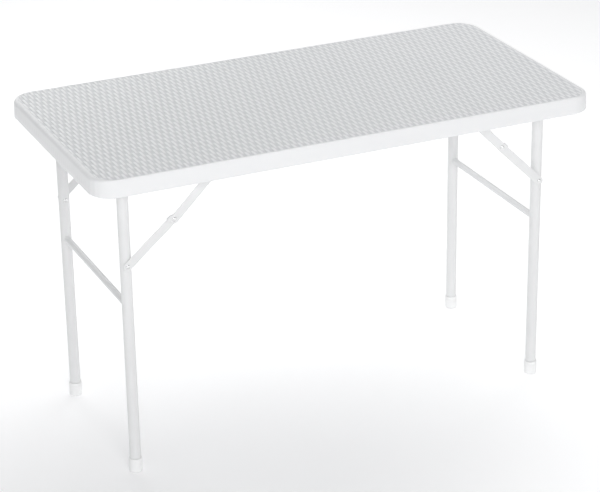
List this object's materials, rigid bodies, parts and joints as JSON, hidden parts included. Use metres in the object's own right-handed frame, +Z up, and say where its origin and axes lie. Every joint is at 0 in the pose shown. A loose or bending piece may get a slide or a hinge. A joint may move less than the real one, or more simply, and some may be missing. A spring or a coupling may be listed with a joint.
{
  "type": "folding table",
  "caption": "Rectangular blow-moulded table top on two folding frames of round steel tube, each held upright by a pair of hinged two-link braces.",
  "frame": {"origin": "on the floor, below the middle of the table top", "axes": "+X along the table top's length, +Y along its width towards the back, +Z up"},
  "size_m": [1.2, 0.6, 0.74],
  "materials": {
    "white_hdpe": "matte, finely textured",
    "white_painted_steel": "semi-gloss powder coat",
    "white_cap_plastic": "satin",
    "zinc_plated_steel": "dull zinc plate"
  },
  "bodies": {
    "top": {"table_top": "white_hdpe", "pivot_bracket_left_front": "white_cap_plastic", "pivot_bracket_left_back": "white_cap_plastic", "pivot_bracket_right_front": "white_cap_plastic", "pivot_bracket_right_back": "white_cap_plastic", "pivot_screw_left_front_inner": "zinc_plated_steel", "pivot_screw_left_front_outer": "zinc_plated_steel", "pivot_screw_left_back_inner": "zinc_plated_steel", "pivot_screw_left_back_outer": "zinc_plated_steel", "pivot_screw_right_front_inner": "zinc_plated_steel", "pivot_screw_right_front_outer": "zinc_plated_steel", "pivot_screw_right_back_inner": "zinc_plated_steel", "pivot_screw_right_back_outer": "zinc_plated_steel", "brace_bracket_left_front": "white_painted_steel", "brace_bracket_left_back": "white_painted_steel", "brace_bracket_right_front": "white_painted_steel", "brace_bracket_right_back": "white_painted_steel", "brace_screw_left_front": "zinc_plated_steel", "brace_screw_left_back": "zinc_plated_steel", "brace_screw_right_front": "zinc_plated_steel", "brace_screw_right_back": "zinc_plated_steel", "bracket_rivet_left_front": "zinc_plated_steel", "bracket_rivet_left_back": "zinc_plated_steel", "bracket_rivet_right_front": "zinc_plated_steel", "bracket_rivet_right_back": "zinc_plated_steel"},
    "left_leg_frame": {"pivot_tube_left": "white_painted_steel", "crossbar_left": "white_painted_steel", "leg_tube_left_front": "white_painted_steel", "leg_tube_left_back": "white_painted_steel", "foot_cap_left_front": "white_cap_plastic", "foot_cap_left_back": "white_cap_plastic", "leg_rivet_left_front": "zinc_plated_steel", "leg_rivet_left_back": "zinc_plated_steel"},
    "right_leg_frame": {"pivot_tube_right": "white_painted_steel", "crossbar_right": "white_painted_steel", "leg_tube_right_front": "white_painted_steel", "leg_tube_right_back": "white_painted_steel", "foot_cap_right_front": "white_cap_plastic", "foot_cap_right_back": "white_cap_plastic", "leg_rivet_right_front": "zinc_plated_steel", "leg_rivet_right_back": "zinc_plated_steel"},
    "left_front_upper_link": {"upper_link_left_front": "white_painted_steel", "elbow_rivet_left_front": "zinc_plated_steel"},
    "left_front_lower_link": {"lower_link_left_front": "white_painted_steel", "link_rivet_left_front": "zinc_plated_steel"},
    "left_back_upper_link": {"upper_link_left_back": "white_painted_steel", "elbow_rivet_left_back": "zinc_plated_steel"},
    "left_back_lower_link": {"lower_link_left_back": "white_painted_steel", "link_rivet_left_back": "zinc_plated_steel"},
    "right_front_upper_link": {"upper_link_right_front": "white_painted_steel", "elbow_rivet_right_front": "zinc_plated_steel"},
    "right_front_lower_link": {"lower_link_right_front": "white_painted_steel", "link_rivet_right_front": "zinc_plated_steel"},
    "right_back_upper_link": {"upper_link_right_back": "white_painted_steel", "elbow_rivet_right_back": "zinc_plated_steel"},
    "right_back_lower_link": {"lower_link_right_back": "white_painted_steel", "link_rivet_right_back": "zinc_plated_steel"}
  },
  "joints": [
    {"name": "left_leg_fold", "type": "hinge", "parent": "top", "child": "left_leg_frame", "pos_m": [-0.515, -0.0142, 0.713], "axis": [0, -1, 0], "range_deg": [0, 90]},
    {"name": "right_leg_fold", "type": "hinge", "parent": "top", "child": "right_leg_frame", "pos_m": [0.515, 0.0142, 0.713], "axis": [0, 1, 0], "range_deg": [0, 90]},
    {"name": "left_front_brace_swing", "type": "hinge", "parent": "top", "child": "left_front_upper_link", "pos_m": [-0.2905, -0.2373, 0.713], "axis": [0, -1, 0], "range_deg": [-44.66, 0]},
    {"name": "left_front_elbow", "type": "hinge", "parent": "left_front_upper_link", "child": "left_front_lower_link", "pos_m": [-0.40554, -0.2328, 0.59935], "axis": [0, -1, 0], "range_deg": [0, 184.5]},
    {"name": "left_back_brace_swing", "type": "hinge", "parent": "top", "child": "left_back_upper_link", "pos_m": [-0.2905, 0.2089, 0.713], "axis": [0, -1, 0], "range_deg": [-44.66, 0]},
    {"name": "left_back_elbow", "type": "hinge", "parent": "left_back_upper_link", "child": "left_back_lower_link", "pos_m": [-0.40554, 0.2044, 0.59935], "axis": [0, -1, 0], "range_deg": [0, 184.5]},
    {"name": "right_front_brace_swing", "type": "hinge", "parent": "top", "child": "right_front_upper_link", "pos_m": [0.312, -0.2089, 0.713], "axis": [0, 1, 0], "range_deg": [-45.93, 0]},
    {"name": "right_front_elbow", "type": "hinge", "parent": "right_front_upper_link", "child": "right_front_lower_link", "pos_m": [0.41155, -0.2044, 0.61018], "axis": [0, 1, 0], "range_deg": [0, 181]},
    {"name": "right_back_brace_swing", "type": "hinge", "parent": "top", "child": "right_back_upper_link", "pos_m": [0.312, 0.2373, 0.713], "axis": [0, 1, 0], "range_deg": [-45.93, 0]},
    {"name": "right_back_elbow", "type": "hinge", "parent": "right_back_upper_link", "child": "right_back_lower_link", "pos_m": [0.41155, 0.2328, 0.61018], "axis": [0, 1, 0], "range_deg": [0, 181]}
  ],
  "couplings": [
    {"joint": "left_front_brace_swing", "follows": "left_leg_fold", "ratio": -0.49614},
    {"joint": "left_front_elbow", "follows": "left_leg_fold", "ratio": 2.05},
    {"joint": "left_back_brace_swing", "follows": "left_leg_fold", "ratio": -0.49614},
    {"joint": "left_back_elbow", "follows": "left_leg_fold", "ratio": 2.05},
    {"joint": "right_front_brace_swing", "follows": "right_leg_fold", "ratio": -0.51028},
    {"joint": "right_front_elbow", "follows": "right_leg_fold", "ratio": 2.0111},
    {"joint": "right_back_brace_swing", "follows": "right_leg_fold", "ratio": -0.51028},
    {"joint": "right_back_elbow", "follows": "right_leg_fold", "ratio": 2.0111}
  ]
}
